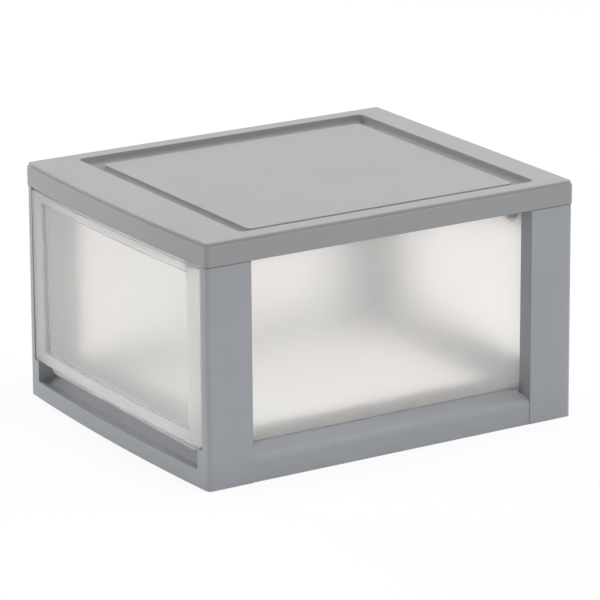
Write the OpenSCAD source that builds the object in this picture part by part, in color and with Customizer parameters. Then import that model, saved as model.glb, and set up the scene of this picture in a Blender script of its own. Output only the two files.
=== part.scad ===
// Stackable drawer box. A moulded case on four posts carries a lid, and a drawer
// with a clear, slightly bowed front slides out between the front posts.
// X points right, Y points to the back and Z points up. The origin lies on the
// floor, under the middle of the box.

/* [Case] */
// Width of the case at its base
case_w = 297; // [250:0.1:380]
// Depth of the case along its sides, from the front corners to the back
case_d = 350.3; // [300:0.1:420]
// Height of the case from the floor to the underside of the lid skirt
case_h = 184.1; // [150:0.1:240]
// How far the middle of the front stands proud of the front corners
bow = 4.9; // [2:0.1:10]
// Radius of the upright corner edges at the base
corner_r = 4; // [3:0.5:6]
// How far every outer face leans inward from the floor to the lid
draft = 0.7; // [0.3:0.1:1]
// Thickness of the moulded grey walls
wall = 2.2; // [1.8:0.1:2.6]

/* [Posts and windows] */
// Length of each post along the side of the case
post_len = 41.4; // [32:0.1:60]
// Depth of the posts from the side face inward
post_depth = 15.7; // [13:0.1:20]
// Width of the front face of a front post
post_face = 8.8; // [7:0.1:11]
// Depth of the pocket in the front posts that takes the drawer front
pocket = 6.5; // [6:0.5:12]

/* [Base] */
// Height of the deck that carries the drawer
deck_z = 25; // [22:0.5:32]
// Height of the side sills at their inner crest
sill_crest = 28; // [27:0.5:34]
// Height of the side sills at the posts
sill_end = 23.8; // [20:0.1:26]
// Radius that rounds the outer edge of the side sills
sill_r = 7; // [4:0.5:9]
// Height at which the rounding of the side sills starts
sill_face = 16; // [10:0.5:18]
// Length over which the sill crest dips to the posts
sill_dip = 24; // [12:1:40]
// How far the sill face lies behind the faces of the posts
sill_inset = 0.6; // [0.4:0.1:1]
// Height of the front rail
rail_h = 14.3; // [14:0.1:18]
// Height of the shelves at both ends of the finger gap
shelf_h = 32.5; // [30:0.5:40]
// Height of the low floor behind the front rail, under the fingers
ramp_low = 13; // [8:0.5:13.5]
// Distance from the front corners back to the start of the ramp
ramp_in = 8; // [6:0.5:12]
// Length of the ramp that rises from the low floor to the deck
ramp_len = 25; // [20:1:45]
// Width of the deck at both sides of the opening in its middle
deck_side = 36; // [34:1:60]
// Depth of the flange round the opening in the deck
flange_h = 12; // [6:1:16]
// Height of the two runners on the deck
runner_h = 2; // [1:0.1:3]
// Width of each runner
runner_w = 4; // [3:0.5:8]
// Distance from the sides of the tray in to the middle of each runner
runner_x = 27; // [14:1:27]
// Distance of the ends of the runners from the ramp and from the back wall
runner_end = 8; // [4:0.5:20]
// Height of the fine seam that shows between the case and the lid
seam_h = 0.6; // [0.3:0.1:1]
// Depth of that seam
seam_in = 1; // [0.6:0.1:1.2]
// Height of the rim round the base that drops over the lid of the box below
rebate_h = 2.5; // [1.5:0.1:3.5]
// Play between that rim and the lid of the box below
stack_gap = 0.3; // [0.2:0.05:0.5]

/* [Back] */
// Height of the sill under the back window
back_sill = 33; // [30:1:60]
// Height of the rail over the back window
back_rail = 34; // [20:1:60]
// Width of the back wall at both sides of the back window
back_side = 41; // [30:1:70]
// Radius of the corners of the back window and of the opening in the deck
back_r = 5; // [2:0.5:8]
// Play between the tray and the back wall
rear_gap = 2; // [1:0.1:5]

/* [Lid] */
// Height of the lid from its skirt edge to its top
lid_h = 19.4; // [17:0.1:26]
// Height of the stepped platform on top of the lid
step_h = 2.9; // [2.7:0.1:4]
// How far the platform lies inside the skirt
step_in = 1.4; // [1.3:0.1:2.5]
// Radius that rounds the top edge of the platform
step_r = 1; // [0.4:0.1:1.2]
// Radius that rounds the top edge of the skirt
skirt_r = 0.6; // [0.3:0.1:0.9]
// Width of the flat border along the sides of the lid
border_side = 14.8; // [12:0.1:25]
// Width of the flat border at the front corners of the lid
border_front = 39.2; // [30:0.1:60]
// Width of the flat border along the back of the lid
border_back = 26.6; // [20:0.1:40]
// Width of the moat along the sides
moat_side = 14.5; // [12:0.1:20]
// Width of the moat along the front
moat_front = 16.5; // [12:0.1:24]
// Width of the moat along the back
moat_back = 11.5; // [11:0.1:20]
// Depth of the moat below the top of the lid
moat_depth = 9.5; // [7:0.1:11]
// Radius of the coves along the bottom of the moat
moat_r = 5; // [2:0.5:5]
// Depth of the middle panel below the top of the lid
panel_depth = 3.5; // [1.5:0.1:4]
// Length of the plugs that hold the lid in the tops of the posts
plug_h = 14; // [8:1:25]
// Play of the plugs in the posts
plug_gap = 0.2; // [0.1:0.05:0.4]

/* [Drawer] */
// Gap between the drawer front and the posts
front_gap = 1.5; // [1:0.1:3]
// How far the rim of the drawer front lies behind the bow of the case
front_in = 0.6; // [0.5:0.1:1.5]
// Height of the lower edge of the drawer front
front_z = 33.5; // [33.4:0.1:42]
// Gap between the drawer front and the lid skirt
top_gap = 2; // [1.5:0.1:4]
// Thickness of the clear mouldings
clear_t = 2.2; // [1.8:0.1:2.4]
// Width of the raised rim down the sides of the drawer front
rim_side = 18.2; // [12:0.1:30]
// Width of the raised rim along the top of the drawer front
rim_top = 7.6; // [6:0.1:20]
// Width of the raised rim along the bottom of the drawer front
rim_bottom = 10.5; // [6:0.1:20]
// How deep the middle of the drawer front lies behind its rim
panel_in = 3; // [1.5:0.1:3]
// Depth of the flange round the back of the drawer front, behind the front corners
flange = 4.2; // [3.5:0.1:4.3]
// Gap between each side of the tray and the posts
side_gap = 1.8; // [1:0.1:2.5]
// Thickness of the tray walls and floor
tray_t = 1.8; // [1.4:0.1:2.2]
// Distance from the front corners of the case back to the rim of the tray
tray_back_off = 4.6; // [4.6:0.1:5.5]
// Gap between the top of the tray and the lid skirt
tray_top_gap = 3.8; // [3.6:0.1:8]
// How much narrower the tray is at its floor, on each side
tray_draft = 1.6; // [0.5:0.1:3]
// Radius of the upright corners of the tray
tray_r = 9; // [6:0.5:14]
// Height of the rim band round the top of the tray
band_h = 5.5; // [4:0.1:8]
// How far the rim band stands out from the tray wall
band_out = 1; // [0.6:0.1:1.2]
// How far the pull lip hangs below the floor of the tray
lip_h = 2; // [1:0.1:4]
// Distance from the front corners back to the face of the pull lip
lip_in = 5; // [3:0.1:6]
// How far the ends of the pull lip lie inside the sides of the tray
lip_end = 12; // [11:0.5:40]
// Play under the drawer where it slides on its runners
glide_gap = 0.2; // [0.1:0.05:0.5]
// Width of each hook and tab that holds the drawer front to the tray
hook_w = 6; // [4:0.5:10]
// Distance from the sides of the tray in to the middle of each hook
hook_x = 16; // [15:1:60]
// Play of the tabs in their slots
tab_gap = 0.2; // [0.1:0.05:0.4]

/* [Stops] */
// Distance from the stop clips to the back face of the case
stop_back = 44.7; // [35:0.1:120]
// Length of a stop clip along the drawer
clip_len = 10; // [6:0.5:16]
// Height of the stop tongue above the tray
clip_up = 6.5; // [5:0.5:8]
// How far the outer leg of the clip hangs below the rim band
clip_down = 3.2; // [1:0.1:5]
// Thickness of the clip
clip_t = 1.3; // [1:0.1:1.5]

/* [Hidden] */
$fn = 64;
// Side count of the very large circle that bows the front
bow_fn = 720;
// Overlap that fuses the solids of one moulding, and a length beyond the box
eps = 0.2;
far = 1000;

// Places in plan
back_y = (case_d + bow) / 2;
front_y = back_y - case_d;
half_w = case_w / 2;
bow_r = (half_w * half_w + bow * bow) / (2 * bow);
bow_cy = front_y - bow + bow_r;
post_x = half_w - post_depth;
open_x = half_w - post_face;
win_front = front_y + post_len;
win_back = back_y - post_len;
pocket_y = front_y + pocket;
skin = wall + draft;
// Thickness of hidden ribs and plugs, and height of the ribs above the stacking rim
rib = 1.8;
rib_up = 4;

// How far the strips that make up a plan run inward from its edge
plan_run = 20;

// Heights
top_z = case_h + lid_h;
step_z = top_z - step_h;
tray_z = deck_z + runner_h + glide_gap;
tray_top = case_h - tray_top_gap;
front_top = case_h - top_gap;

// Lid recess and middle panel
rec_x = half_w - step_in - border_side;
rec_front = front_y + step_in + border_front;
rec_back = back_y - step_in - border_back;
mid_x = rec_x - moat_side;
mid_front = rec_front + moat_front;
mid_back = rec_back - moat_back;
mid_r = 4;

// Ramp in front of the deck
ramp_y = front_y + ramp_in;
deck_y = ramp_y + ramp_len;

// Opening in the deck
deck_x = post_x - deck_side;
hole_front = deck_y + deck_side - ramp_len / 2;
hole_back = back_y - skin - deck_side;

// Drawer
tray_x = post_x - side_gap;
tray_y = front_y + tray_back_off;
tray_rear = back_y - skin - rear_gap;
front_x = open_x - front_gap;
stop_y = back_y - stop_back - clip_len;
// Places of the hooks and the runners
hook_at = tray_x - hook_x;
runner_at = tray_x - runner_x;
// How far the outer and the inner faces of the tray lean in at height z
function lean_out(z) = tray_draft * (tray_top - z) / (tray_top - tray_z);
function lean_in(z) = lean_out(z - tray_t) + tray_t;
// Outer and inner face of the front wall of the tray at height z
function wall_y(z) = tray_y + band_out + lean_out(z);
function inner_y(z) = tray_y + band_out + lean_in(z);

// Lower tabs of the drawer front: their rise above its lower edge, their thickness,
// the gussets over and under them, and how far the hooks stand above the tray
tab_rise = 4;
tab_z = front_z + tab_rise;
tab_t = 2;
gusset = 3;
hook_up = 1.5;

// Centre line of the corner edges in the plan at the base, for radius r
function corner_y(inset, r) =
    bow_cy - sqrt(pow(bow_r - inset - r, 2) - pow(half_w - inset - r, 2));

// ---- Shared shapes ----

// Plan of the case moved inward by inset: straight sides and back, bowed front
module plan(inset = 0) {
    r = max(corner_r - inset, 0.6);
    big = bow_r - inset;
    cx = half_w - inset - r;
    cy = corner_y(inset, r);
    tx = cx * big / (big - r);
    by = back_y - inset;
    intersection() {
        translate([0, bow_cy]) circle(big, $fn = bow_fn);
        translate([-tx, front_y - 2 * bow]) square([2 * tx, by - front_y + 2 * bow]);
    }
    translate([-half_w + inset, cy]) square([case_w - 2 * inset, by - r - cy]);
    for (sx = [-1, 1], y = [cy, by - r]) translate([sx * cx, y]) circle(r);
}

// Part of the plan in front, between the radial lines through the corner centres
module bow_wedge(inset, r) {
    cx = half_w - inset - r;
    cy = corner_y(inset, r);
    ux = plan_run * cx / (bow_r - inset - r);
    uy = plan_run * (cy - bow_cy) / (bow_r - inset - r);
    polygon([[-cx - ux, cy + uy], [cx + ux, cy + uy], [cx - ux, cy - uy], [-cx + ux, cy - uy]]);
}

// Rectangle between two corners, with round corners if r > 0
module rect(x0, y0, x1, y1, r = 0) {
    if (r > 0) {
        translate([x0 + r, y0]) square([x1 - x0 - 2 * r, y1 - y0]);
        translate([x0, y0 + r]) square([x1 - x0, y1 - y0 - 2 * r]);
        for (x = [x0 + r, x1 - r], y = [y0 + r, y1 - r]) translate([x, y]) circle(r);
    } else translate([x0, y0]) square([x1 - x0, y1 - y0]);
}

// Extrudes a plan shape between two heights
module slab(z0, z1) translate([0, 0, z0]) linear_extrude(z1 - z0) children();

// Extrudes a shape drawn in Y and Z along X, between x0 and x1
module along_x(x0, x1)
    translate([x0, 0, 0]) rotate([90, 0, 90]) linear_extrude(x1 - x0) children();

// Extrudes a shape drawn in X and Z along Y, between y0 and y1
module along_y(y0, y1)
    translate([0, y1, 0]) rotate([90, 0, 0]) linear_extrude(y1 - y0) children();

module both_sides() { children(); mirror([1, 0, 0]) children(); }

// ---- Case ----

// Outside of the case: every face leans inward by draft over the full height
module envelope() {
    cx = half_w - corner_r;
    cy = corner_y(0, corner_r);
    intersection() {
        translate([0, bow_cy, 0]) cylinder(case_h, bow_r, bow_r - draft, $fn = bow_fn);
        slab(0, case_h) bow_wedge(0, corner_r);
    }
    along_y(cy, back_y - corner_r)
        polygon([[-half_w, 0], [half_w, 0], [half_w - draft, case_h], [draft - half_w, case_h]]);
    along_x(-cx, cx)
        polygon([[back_y - plan_run, 0], [back_y, 0], [back_y - draft, case_h],
                 [back_y - plan_run, case_h]]);
    for (sx = [-1, 1], y = [cy, back_y - corner_r])
        translate([sx * cx, y, 0]) cylinder(case_h, corner_r, corner_r - draft);
}

// Plan of one front post, t inside its outer walls: the wide part behind the
// pocket and the slim part beside it
module front_post(t) {
    rect(post_x + t, pocket_y + t, half_w + 1, win_front - t);
    rect(open_x + t, front_y - bow, half_w + 1, pocket_y + t + eps);
}

module back_post(t) rect(post_x + t, win_back + t, half_w + 1, back_y + 1);

module posts() {
    both_sides() slab(0, case_h) {
        difference() { front_post(0); intersection() { front_post(wall); plan(skin); } }
        difference() { back_post(0); intersection() { back_post(wall); plan(skin); } }
    }
}

// Section of a sill: face, rounded edge and slope to the crest
module sill_section() {
    cx = sill_inset + sill_r;
    run = post_depth - cx;
    rise = sill_crest - sill_face;
    lean = atan2(rise, run) + acos(sill_r / norm([run, rise]));
    polygon([[sill_inset, 0], [sill_inset, sill_face], [cx, sill_face],
             [cx + sill_r * cos(lean), sill_face + sill_r * sin(lean)],
             [post_depth, sill_crest], [post_depth, 0]]);
    translate([cx, sill_face]) circle(sill_r);
}

// Hollow under a sill
module sill_hollow() {
    x0 = sill_inset + wall;
    x1 = sill_inset + sill_r;
    x2 = post_depth - wall;
    z1 = min(sill_face + sill_r - wall, sill_end - wall);
    polygon([[x0, -1], [x0, sill_face], [x1, z1], [x2, z1], [x2, -1]]);
}

// Side view of a sill: its crest dips along an arc to each post
module sill_outline() {
    dip_h = sill_crest - sill_end;
    dip_r = (sill_dip * sill_dip + dip_h * dip_h) / (2 * dip_h);
    rect(win_front - eps, 0, win_back + eps, sill_end);
    rect(win_front + sill_dip, 0, win_back - sill_dip, sill_crest);
    for (y = [win_front + sill_dip, win_back - sill_dip]) intersection() {
        rect(win_front, 0, win_back, sill_crest);
        translate([y, sill_crest - dip_r]) circle(dip_r, $fn = 180);
    }
}

module sills() {
    both_sides() difference() {
        intersection() {
            translate([half_w, 0, 0]) mirror([1, 0, 0])
                along_y(win_front - eps, win_back + eps) sill_section();
            along_x(post_x - 1, half_w + 1) sill_outline();
        }
        translate([half_w, 0, 0]) mirror([1, 0, 0])
            along_y(win_front - 1, win_back + 1) sill_hollow();
    }
}

// Floor of the case: a flat deck with a large opening, and in front of it a ramp
// down to a low floor that lets the fingers in under the drawer front
module deck() {
    slab(deck_z - wall, deck_z) difference() {
        rect(-post_x - eps, deck_y - eps, post_x + eps, back_y - skin + eps);
        rect(-deck_x, hole_front, deck_x, hole_back, back_r);
    }
    along_x(-post_x - eps, post_x + eps)
        polygon([[ramp_y, ramp_low], [deck_y, deck_z], [deck_y, deck_z - wall],
                 [ramp_y, ramp_low - wall]]);
    slab(ramp_low - wall, ramp_low) intersection() {
        plan(skin / 2);
        rect(-post_x - eps, -far, post_x + eps, ramp_y + eps);
    }
}

// Wall across the front under the drawer, and the shelves at both of its ends
module front_rail() {
    slab(0, rail_h) difference() {
        rect(-post_x - eps, front_y - bow, post_x + eps, pocket_y);
        plan(skin);
    }
    both_sides() slab(0, shelf_h) rect(post_x, front_y - bow, open_x + eps, pocket_y + eps);
}

// Back wall with its window
module back_wall() {
    x = half_w - back_side;
    z1 = case_h - back_rail;
    difference() {
        slab(0, case_h) rect(-post_x - eps, back_y - skin, post_x + eps, back_y + 1);
        along_y(back_y - skin - 1, back_y + 2) rect(-x, back_sill, x, z1, back_r);
    }
}

// Runners on the deck, and ribs under its edges
module deck_ribs() {
    foot = rebate_h + rib_up;
    both_sides() {
        translate([runner_at - runner_w / 2, deck_y + runner_end, deck_z - eps])
            cube([runner_w, back_y - skin - deck_y - 2 * runner_end, runner_h + eps]);
        // Ribs that tie the deck to the sill
        for (i = [0:3])
            translate([deck_x, hole_front + i * (hole_back - hole_front - rib) / 3, foot])
                cube([post_x - deck_x + eps, rib, deck_z - foot - wall + eps]);
    }
    // Flange round the opening in the deck
    slab(deck_z - flange_h, deck_z) difference() {
        rect(-deck_x - rib, hole_front - rib, deck_x + rib, hole_back + rib, back_r + rib);
        rect(-deck_x, hole_front, deck_x, hole_back, back_r);
    }
}

module case_body() color([0.58, 0.6, 0.62]) {
    difference() {
        union() {
            intersection() {
                envelope();
                union() {
                    posts();
                    front_rail();
                    back_wall();
                }
            }
            sills();
            deck();
            deck_ribs();
        }
        // Rebate that leaves the stacking rim round the base
        slab(-1, rebate_h) plan(step_in - stack_gap);
        slab(case_h - seam_h, case_h + 1) difference() {
            plan(-1);
            plan(draft + seam_in);
        }
    }
}

// ---- Lid ----

// Block with a flat top at z1 whose upright and bottom edges are all rounded by r
module pan(x0, y0, x1, y1, z0, z1, r) {
    slab(z0, z1) rect(x0 + r, y0 + r, x1 - r, y1 - r);
    slab(z0 + r, z1) rect(x0, y0, x1, y1, r);
    intersection() {
        slab(z0, z0 + r + eps) rect(x0, y0, x1, y1);
        union() {
            for (x = [x0 + r, x1 - r]) translate([x, y0 + r, z0 + r]) rotate([-90, 0, 0])
                cylinder(y1 - y0 - 2 * r, r, r);
            for (y = [y0 + r, y1 - r]) translate([x0 + r, y, z0 + r]) rotate([0, 90, 0])
                cylinder(x1 - x0 - 2 * r, r, r);
            for (x = [x0 + r, x1 - r], y = [y0 + r, y1 - r])
                translate([x, y, z0 + r]) sphere(r);
        }
    }
}

// Half of the section of an upright wall with a cove of radius r at its foot,
// measured from the axis of a corner of radius rc
module cove_section(rc, r, h) {
    difference() {
        union() {
            square([rc, h]);
            translate([rc - eps, 0]) square([r + eps, r]);
        }
        translate([rc + r, r]) circle(r);
    }
}

// Raised panel from z0 to z1 with upright corners of radius rc and coves at its foot
module island(x0, y0, x1, y1, z0, z1, rc, r) {
    h = z1 - z0;
    slab(z0, z1) rect(x0, y0, x1, y1, rc);
    translate([0, 0, z0]) {
        for (x = [x0 + rc, x1 - rc], y = [y0 + rc, y1 - rc]) translate([x, y, 0])
            rotate_extrude() cove_section(rc, r, h);
        along_y(y0 + rc, y1 - rc) {
            translate([x1 - rc, 0]) cove_section(rc, r, h);
            translate([x0 + rc, 0]) mirror([1, 0]) cove_section(rc, r, h);
        }
        along_x(x0 + rc, x1 - rc) {
            translate([y1 - rc, 0]) cove_section(rc, r, h);
            translate([y0 + rc, 0]) mirror([1, 0]) cove_section(rc, r, h);
        }
    }
}

// Tubes that plug into the tops of the posts
module plugs() {
    t = wall + plug_gap;
    both_sides() difference() {
        slab(case_h - plug_h, top_z - wall + eps) intersection() {
            union() {
                rect(post_x + t, pocket_y + t, half_w, win_front - t);
                rect(post_x + t, win_back + t, half_w, back_y);
            }
            plan(skin + plug_gap);
        }
        slab(case_h - plug_h - 1, top_z - wall) intersection() {
            union() {
                rect(post_x + t + rib, pocket_y + t + rib, half_w, win_front - t - rib);
                rect(post_x + t + rib, win_back + t + rib, half_w, back_y);
            }
            plan(skin + plug_gap + rib);
        }
    }
}

// Half section of a plate of half-width w whose top edge is rounded by e
module edge_section(w, z0, z1, e) {
    translate([0, z0]) square([w, z1 - z0 - e]);
    translate([0, z0]) square([w - e, z1 - z0]);
    translate([w - e, z1 - e]) circle(e);
}

// Plate with the plan of the case moved inward by inset, its top edge rounded by e
module plate(inset, z0, z1, e) {
    r = corner_r - inset;
    cx = half_w - inset - r;
    cy = corner_y(inset, r);
    by = back_y - inset - r;
    intersection() {
        translate([0, bow_cy, 0]) rotate_extrude($fn = bow_fn)
            edge_section(bow_r - inset, z0, z1, e);
        slab(z0 - 1, z1 + 1) bow_wedge(inset, r);
    }
    both_sides() along_y(cy, by) edge_section(half_w - inset, z0, z1, e);
    along_x(-cx, cx) translate([by - plan_run, 0]) edge_section(plan_run + r, z0, z1, e);
    for (sx = [-1, 1], y = [cy, by])
        translate([sx * cx, y, 0]) rotate_extrude() edge_section(r, z0, z1, e);
}

module top_panel() color([0.62, 0.63, 0.65]) {
    difference() {
        union() {
            difference() {
                union() {
                    plate(0, case_h, step_z, skirt_r);
                    plate(step_in, step_z - 1, top_z, step_r);
                }
                slab(case_h - 1, top_z - wall) plan(step_in + wall);
            }
            pan(-rec_x - wall, rec_front - wall, rec_x + wall, rec_back + wall,
                top_z - moat_depth - wall, top_z - eps, moat_r + wall);
            plugs();
        }
        difference() {
            pan(-rec_x, rec_front, rec_x, rec_back, top_z - moat_depth, top_z + 1, moat_r);
            island(-mid_x, mid_front, mid_x, mid_back, top_z - moat_depth,
                   top_z - panel_depth, mid_r, moat_r);
        }
        slab(top_z - moat_depth - wall - 1, top_z - panel_depth - wall)
            rect(-mid_x + wall, mid_front + wall, mid_x - wall, mid_back - wall, mid_r);
    }
}

// ---- Drawer ----

// Block between two heights that leans outward by lean on all four sides; the
// given size and corner radius hold at the top
module tub(half, y0, y1, z0, z1, lean, r) {
    h = z1 - z0;
    along_y(y0 + r, y1 - r)
        polygon([[lean - half, z0], [half - lean, z0], [half, z1], [-half, z1]]);
    along_x(r - half, half - r)
        polygon([[y0 + lean, z0], [y1 - lean, z0], [y1, z1], [y0, z1]]);
    for (x = [r - half, half - r], y = [y0 + r, y1 - r])
        translate([x, y, z0]) cylinder(h, r - lean, r);
}

module drawer_tray() color([0.9, 0.9, 0.9, 0.6]) {
    w = tray_x - band_out;
    y0 = tray_y + band_out;
    y1 = tray_rear - band_out;
    lip_x = tray_x - lip_end;
    difference() {
        union() {
            tub(w, y0, y1, tray_z, tray_top, tray_draft, tray_r);
            slab(tray_top - band_h, tray_top)
                rect(-tray_x, tray_y, tray_x, tray_rear, tray_r + band_out);
            // Pull lip under the front edge
            along_y(front_y + lip_in, wall_y(tray_z) + tray_t)
                polygon([[-lip_x, tray_z + tray_t], [lip_x, tray_z + tray_t],
                         [lip_x - lip_h, tray_z - lip_h], [lip_h - lip_x, tray_z - lip_h]]);
        }
        // The floor is tray_t thick, and the inner faces run on at the same lean
        translate([0, 0, tray_t])
            tub(w - tray_t, y0 + tray_t, y1 - tray_t, tray_z, tray_top,
                tray_draft, tray_r - tray_t);
        for (s = [-1, 1]) translate([s * hook_at - hook_w / 2 - tab_gap, y0 - 1, tab_z - tab_gap])
            cube([hook_w + 2 * tab_gap, tray_draft + tray_t + 2, tab_t + 2 * tab_gap]);
    }
}

// Prism behind the bow at the given inset, as far back as y1, over a rectangle
// that lies at edge inside the outline of the drawer front
module front_block(inset, y1, x, z0, z1, r) {
    intersection() {
        slab(z0, z1) intersection() {
            translate([0, bow_cy]) circle(bow_r - inset, $fn = bow_fn);
            rect(-x - 1, front_y - bow - 1, x + 1, y1);
        }
        along_y(front_y - bow - 1, y1 + 1) rect(-x, z0, x, z1, r);
    }
}

// Hook over the rim of the tray, in side view
module hook_profile() {
    y0 = front_y + front_in + clear_t - eps;
    low = tray_top - band_h;
    polygon([[y0, low], [tray_y, low], [tray_y, tray_top], [inner_y(tray_top), tray_top],
             [inner_y(low), low], [inner_y(low) + tab_t, low],
             [inner_y(low) + tab_t, tray_top + hook_up], [y0, tray_top + hook_up]]);
}

// Tab through the front wall of the tray, in side view
module tab_profile() {
    y0 = front_y + front_in + clear_t - eps;
    z0 = tab_z - gusset;
    z1 = tab_z + tab_t;
    z2 = z1 + gusset;
    back = inner_y(tab_z) + tab_gap;
    polygon([[y0, z0], [wall_y(z0), z0], [wall_y(tab_z), tab_z], [back, tab_z],
             [back, tab_z - tab_gap], [back + tab_t, tab_z - tab_gap],
             [back + tab_t, z1], [wall_y(z1), z1], [wall_y(z2), z2], [y0, z2]]);
}

module drawer_front() color([0.92, 0.95, 0.96, 0.4]) {
    rim_x = front_x - rim_side;
    low = front_z + rim_bottom;
    high = front_top - rim_top;
    back = front_y + flange;
    t = clear_t;
    difference() {
        front_block(front_in, back, front_x, front_z, front_top, 3);
        // Recess in front of the panel
        difference() {
            front_block(-1, back, rim_x, low, high, 2);
            front_block(front_in + panel_in, back + 1, rim_x + 1, low - 1, high + 1, 1);
        }
        // Hollow behind the rim and the panel
        difference() {
            front_block(front_in + t, back + 2, front_x - t, front_z + t, front_top - t, 1);
            difference() {
                front_block(0, back + 3, rim_x + t, low - t, high + t, 2 + t);
                front_block(front_in + panel_in + t, back + 4, rim_x + t + 1,
                            low - t - 1, high + t + 1, 1);
            }
        }
    }
    for (s = [-1, 1]) along_x(s * hook_at - hook_w / 2, s * hook_at + hook_w / 2) {
        hook_profile();
        tab_profile();
    }
}

// ---- Stops ----

// Clip that hooks over the side of the tray; its tongue meets the lid skirt when
// the drawer is fully out
module clip() {
    w = tray_x - band_out;
    low = tray_top - band_h - clip_down;
    in_z = tray_top - band_h;
    top = tray_top + clip_t;
    tip = tray_top + clip_up;
    in_x = w - lean_in(tray_top);
    foot_x = w - lean_in(in_z);
    nose = clip_len * 0.4;
    intersection() {
        along_y(stop_y, stop_y + clip_len)
            polygon([[tray_x, low], [tray_x + clip_t, low], [tray_x + clip_t, top],
                     [in_x + clip_t, top], [in_x + clip_t, tip], [in_x - clip_t, tip],
                     [in_x - clip_t, top], [foot_x - clip_t, in_z], [foot_x, in_z],
                     [in_x, tray_top], [tray_x, tray_top]]);
        // Its outer leg ends in a blunt point
        along_x(0, half_w)
            polygon([[stop_y, low + nose], [stop_y + nose, low],
                     [stop_y + clip_len - nose, low], [stop_y + clip_len, low + nose],
                     [stop_y + clip_len, tip], [stop_y, tip]]);
    }
}

module stop_clip_left() color([0.85, 0.8, 0.75, 0.7]) mirror([1, 0, 0]) clip();
module stop_clip_right() color([0.85, 0.8, 0.75, 0.7]) clip();

case_body();
top_panel();
drawer_tray();
drawer_front();
stop_clip_left();
stop_clip_right();
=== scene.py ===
import math

import bpy
from mathutils import Matrix, Vector


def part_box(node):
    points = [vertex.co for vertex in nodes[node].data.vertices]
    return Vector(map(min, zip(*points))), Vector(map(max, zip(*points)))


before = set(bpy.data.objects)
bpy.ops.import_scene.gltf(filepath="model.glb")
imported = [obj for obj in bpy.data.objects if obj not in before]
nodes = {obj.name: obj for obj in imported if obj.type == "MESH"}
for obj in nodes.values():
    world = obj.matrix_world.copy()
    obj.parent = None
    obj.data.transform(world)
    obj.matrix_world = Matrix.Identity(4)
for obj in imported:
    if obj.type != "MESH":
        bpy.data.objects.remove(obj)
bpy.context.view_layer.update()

scene = bpy.context.scene


# ---- Node trees ----

def srgb(r, g, b):
    """Linear colour of an 8-bit display colour."""
    def lin(c):
        c /= 255.0
        return c / 12.92 if c <= 0.04045 else ((c + 0.055) / 1.055) ** 2.4
    return (lin(r), lin(g), lin(b), 1.0)


class Tree:
    """A node tree under construction."""

    def __init__(self, tree, output):
        self.tree = tree
        self.tree.nodes.clear()
        self.out = self.add(output)

    def add(self, kind, **sockets):
        """New node with the named inputs set; an underscore stands for a space."""
        node = self.tree.nodes.new(kind)
        for key, value in sockets.items():
            node.inputs[key.replace("_", " ")].default_value = value
        return node

    def link(self, a, b):
        self.tree.links.new(a, b)

    def put(self, socket, value):
        """A plain number goes on the socket itself, an output is linked to it."""
        if isinstance(value, (int, float)):
            socket.default_value = value
        else:
            self.link(value, socket)

    def math(self, operation, *values):
        node = self.add("ShaderNodeMath")
        node.operation = operation
        for socket, value in zip(node.inputs, values):
            self.put(socket, value)
        return node.outputs[0]

    def span(self, fac, low, high, start=0.0, end=1.0):
        """Low where fac is at start, high where it is at end, clamped beyond."""
        node = self.add("ShaderNodeMapRange",
                        From_Min=start, From_Max=end, To_Min=low, To_Max=high)
        self.link(fac, node.inputs["Value"])
        return node.outputs["Result"]

    def mix(self, fac, a, b):
        """Shader a where fac is 0, shader b where it is 1."""
        node = self.add("ShaderNodeMixShader")
        self.put(node.inputs["Fac"], fac)
        self.link(a, node.inputs[1])
        self.link(b, node.inputs[2])
        return node.outputs["Shader"]

    def backdrop_seen(self):
        """One for camera, glossy and transmission rays, which meet the white
        backdrop."""
        path = self.add("ShaderNodeLightPath")
        seen = path.outputs["Is Camera Ray"]
        for kind in ("Is Glossy Ray", "Is Transmission Ray"):
            seen = self.math("MAXIMUM", seen, path.outputs[kind])
        return seen

    def finish(self, surface):
        self.link(surface, self.out.inputs["Surface"])


class Shader(Tree):
    """A node material under construction, with textures in metres."""

    def __init__(self, name):
        self.mat = bpy.data.materials.new(name)
        self.mat.use_nodes = True
        super().__init__(self.mat.node_tree, "ShaderNodeOutputMaterial")
        self.coord = self.add("ShaderNodeTexCoord").outputs["Object"]

    def noise(self, scale, detail=3.0, rough=0.5):
        node = self.add("ShaderNodeTexNoise", Scale=scale, Detail=detail, Roughness=rough)
        self.link(self.coord, node.inputs["Vector"])
        return node.outputs["Fac"]

    def clouded(self, fac, dark, light, margin=0.3):
        """Colour that drifts from dark to light as fac passes between the margins
        of its range."""
        node = self.add("ShaderNodeValToRGB")
        low, high = node.color_ramp.elements
        low.position, low.color = margin, srgb(*dark)
        high.position, high.color = 1.0 - margin, srgb(*light)
        self.link(fac, node.inputs["Fac"])
        return node.outputs["Color"]

    def relief(self, scale, strength, depth, normal):
        """Normal with a noise of this scale, strength and depth pressed into it."""
        node = self.add("ShaderNodeBump", Strength=strength, Distance=depth)
        self.link(self.noise(scale, 2.0), node.inputs["Height"])
        self.link(normal, node.inputs["Normal"])
        return node.outputs["Normal"]

    def edge(self, radius):
        """Normal with the edges rounded by radius."""
        node = self.add("ShaderNodeBevel", Radius=radius)
        node.samples = 6
        return node.outputs["Normal"]

    def finish(self, surface):
        super().finish(surface)
        return self.mat


# ---- Grey mouldings ----

GREY_IOR = 1.49
GREY_ROUGH = (0.42, 0.5)
GREY_CLOUDS = 9.0          # scale of the drift in colour
GREY_PATCHES = 38.0        # scale of the changes in roughness
GREY_EDGE = 0.0006         # rounding of the edges
# Scale, strength and depth of the mould's spark texture and of the flow marks
SPARK = (2600.0, 0.35, 0.00006)
FLOW = (24.0, 0.12, 0.0004)


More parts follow.
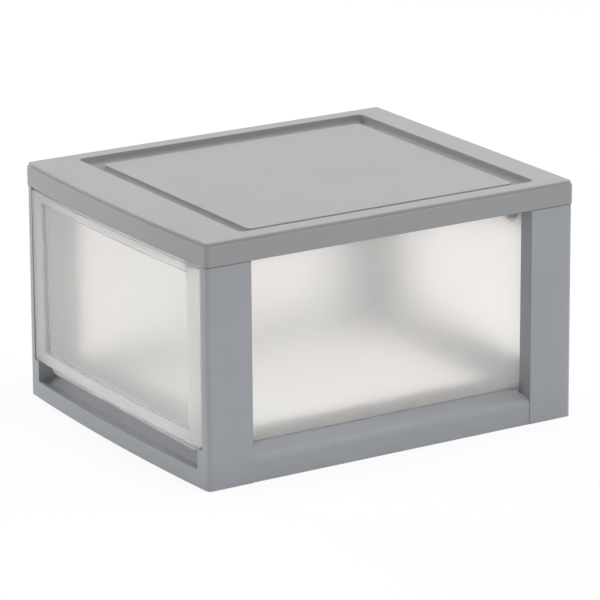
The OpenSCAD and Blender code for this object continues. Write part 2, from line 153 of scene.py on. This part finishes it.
def moulded(name, dark, light):
    """Opaque moulded plastic: fine spark texture, faint flow marks, soft edges."""
    s = Shader(name)
    plastic = s.add("ShaderNodeBsdfPrincipled", IOR=GREY_IOR)
    drift = s.noise(GREY_CLOUDS, 4.0, 0.55)
    s.link(s.clouded(drift, dark, light, 0.32), plastic.inputs["Base Color"])
    s.link(s.span(s.noise(GREY_PATCHES), *GREY_ROUGH), plastic.inputs["Roughness"])
    sparked = s.relief(*SPARK, s.edge(GREY_EDGE))
    s.link(s.relief(*FLOW, sparked), plastic.inputs["Normal"])
    return s.finish(plastic.outputs["BSDF"])


# ---- Translucent mouldings ----

HAZE_CLOUDS = 7.0          # scale of the drift in colour
HAZE_PATCHES = 30.0        # scale of the changes in roughness
HAZE_EDGE = 0.0005         # rounding of the edges
WAVES = (14.0, 0.1, 0.0005)    # scale, strength and depth of waves in the surface

# Raised border of the drawer front: its widths at the sides, below and above, half
# the width over which its milk falls to that of the panel, and the milk on it
BORDER_SIDE, BORDER_BELOW, BORDER_ABOVE = 0.0182, 0.0105, 0.0076
BORDER_SOFT = 0.0015
BORDER_MILK = 0.38


def border_mask(s):
    """One on the raised border of the drawer front, falling to nothing on its panel."""
    low, high = (Vector(v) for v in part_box("drawer_front"))
    xyz = s.add("ShaderNodeSeparateXYZ")
    s.link(s.coord, xyz.inputs["Vector"])
    mask = None
    for place, line, outward in (
            (s.math("ABSOLUTE", xyz.outputs["X"]), high.x - BORDER_SIDE, BORDER_SOFT),
            (xyz.outputs["Z"], low.z + BORDER_BELOW, -BORDER_SOFT),
            (xyz.outputs["Z"], high.z - BORDER_ABOVE, BORDER_SOFT)):
        side = s.span(place, 0.0, 1.0, line - outward, line + outward)
        mask = side if mask is None else s.math("MAXIMUM", mask, side)
    return mask


def hazy(name, passed, scattered, rough, milk, back, ior, border=False):
    """Translucent moulding: light passes through it, blurred by its haze, and part
    of it, milk, is scattered in the cloudy plastic, a share of that back. What
    passes is warm, what is scattered is cooler. A border is milkier than the rest."""
    s = Shader(name)
    drift = s.noise(HAZE_CLOUDS)

    def paler(colour):
        return [min(255.0, c + 1.0) for c in colour]

    milky = s.clouded(drift, scattered, paler(scattered))
    normal = s.relief(*WAVES, s.edge(HAZE_EDGE))
    through = s.add("ShaderNodeBsdfGlass", IOR=ior)
    s.link(s.clouded(drift, passed, paler(passed)), through.inputs["Color"])
    s.link(s.span(s.noise(HAZE_PATCHES, 2.0), *rough), through.inputs["Roughness"])
    s.link(normal, through.inputs["Normal"])
    soft = s.add("ShaderNodeBsdfTranslucent")
    s.link(milky, soft.inputs["Color"])
    body = s.add("ShaderNodeBsdfDiffuse")
    s.link(milky, body.inputs["Color"])
    s.link(normal, body.inputs["Normal"])
    if border:
        milk = s.span(border_mask(s), milk, BORDER_MILK)
    return s.finish(s.mix(milk, through.outputs["BSDF"],
                          s.mix(back, soft.outputs["BSDF"], body.outputs["BSDF"])))


# ---- Finish of each piece ----

case_grey = moulded("case_grey", (155, 158, 163), (159, 162, 167))
lid_grey = moulded("lid_grey", (150, 151, 152), (154, 155, 156))
tray_frost = hazy("tray_frosted", (255, 253.5, 252.5), (253, 254, 255),
                  rough=(0.84, 0.9), milk=0.2, back=0.55, ior=1.07)
front_clear = hazy("front_clear", (255, 254.5, 254), (253, 254, 255),
                   rough=(0.02, 0.05), milk=0.16, back=0.5, ior=1.12, border=True)
clip_tint = hazy("clip_tinted", (252, 248, 246), (250, 246, 244),
                 rough=(0.2, 0.3), milk=0.75, back=0.6, ior=1.1)

dress = {
    "case_body": case_grey,
    "top_panel": lid_grey,
    "drawer_tray": tray_frost,
    "drawer_front": front_clear,
    "stop_clip_left": clip_tint,
    "stop_clip_right": clip_tint,
}
for name, mat in dress.items():
    slots = nodes[name].data.materials
    slots.clear()
    slots.append(mat)


# ---- Floor ----

FLOOR_SIZE = 14.0
FLOOR_CLOUDS = 3.0         # scale of the drift in colour
FLOOR_GLOW = 0.88          # share of plain white; the rest takes light and shadow


def floor_material():
    """White to the camera and through the drawer; it keeps a soft shadow."""
    s = Shader("floor_white")
    matt = s.add("ShaderNodeBsdfDiffuse")
    drift = s.noise(FLOOR_CLOUDS, 2.0)
    s.link(s.clouded(drift, (238, 238, 238), (241, 241, 241)), matt.inputs["Color"])
    glow = s.add("ShaderNodeEmission", Strength=1.0)
    return s.finish(s.mix(s.math("MULTIPLY", s.backdrop_seen(), FLOOR_GLOW),
                          matt.outputs["BSDF"], glow.outputs["Emission"]))


bpy.ops.mesh.primitive_plane_add(size=FLOOR_SIZE, location=(0, 0, 0))
floor = bpy.context.object
floor.name = "floor"
floor.data.materials.append(floor_material())


# ---- Light ----

WHITE = (1.0, 1.0, 1.0, 1.0)
SKY = 0.05                 # light from straight above, nothing at the horizon

scene.world = bpy.data.worlds.new("studio")
scene.world.use_nodes = True
w = Tree(scene.world.node_tree, "ShaderNodeOutputWorld")
toward = w.add("ShaderNodeSeparateXYZ")
w.link(w.add("ShaderNodeTexCoord").outputs["Generated"], toward.inputs["Vector"])
lit = w.add("ShaderNodeBackground", Color=WHITE)
w.link(w.span(toward.outputs["Z"], 0.0, SKY), lit.inputs["Strength"])
seen = w.add("ShaderNodeBackground", Color=WHITE, Strength=1.0)
w.finish(w.mix(w.backdrop_seen(), lit.outputs["Background"], seen.outputs["Background"]))

MIDDLE = (0.0, 0.0, 0.1)


def lamp(name, place, size, power, target=MIDDLE):
    """Round soft lamp. Hidden from glossy and transmission rays, it neither mirrors
    in the lid nor burns out the drawer."""
    data = bpy.data.lights.new(name, "AREA")
    data.shape = "DISK"
    data.size = size
    data.energy = power
    o = bpy.data.objects.new(name, data)
    scene.collection.objects.link(o)
    o.visible_glossy = False
    o.visible_transmission = False
    o.location = place
    aim = Vector(target) - Vector(place)
    o.rotation_euler = aim.to_track_quat("-Z", "Y").to_euler()


lamp("top_light", (0.3, 0.4, 2.6), 2.2, 43.0)
lamp("front_light", (-1.2, -2.4, 1.3), 1.6, 40.0, (0.0, -0.1, 0.1))
lamp("side_light", (2.4, 0.3, 1.6), 1.4, 24.0)
lamp("left_light", (-2.6, -0.2, 0.9), 1.6, 48.0)
lamp("back_light", (0.2, 2.6, 0.9), 1.6, 42.0)


# ---- Camera ----

# Solved from the straight edges of the box in the photograph
SENSOR, LENS = 36.0, 232.82                              # mm
AZIMUTH, ELEVATION, ROLL = 58.308, 16.978, -0.318        # degrees
CAMERA_AT = (2.6414, -1.62624, 1.0392)

cam_data = bpy.data.cameras.new("camera")
cam_data.sensor_width = SENSOR
cam_data.lens = LENS
cam_data.clip_end = 50.0
cam = bpy.data.objects.new("camera", cam_data)
scene.collection.objects.link(cam)
az, el, roll = (math.radians(angle) for angle in (AZIMUTH, ELEVATION, ROLL))
back = Vector((math.sin(az) * math.cos(el), -math.cos(az) * math.cos(el), math.sin(el)))
right = Vector((math.cos(az), math.sin(az), 0.0))
up = back.cross(right)
x_axis = right * math.cos(roll) + up * math.sin(roll)
y_axis = up * math.cos(roll) - right * math.sin(roll)
stand = Matrix((x_axis, y_axis, back)).transposed().to_4x4()
stand.translation = Vector(CAMERA_AT)
cam.matrix_world = stand
scene.camera = cam
scene.view_settings.view_transform = "Standard"
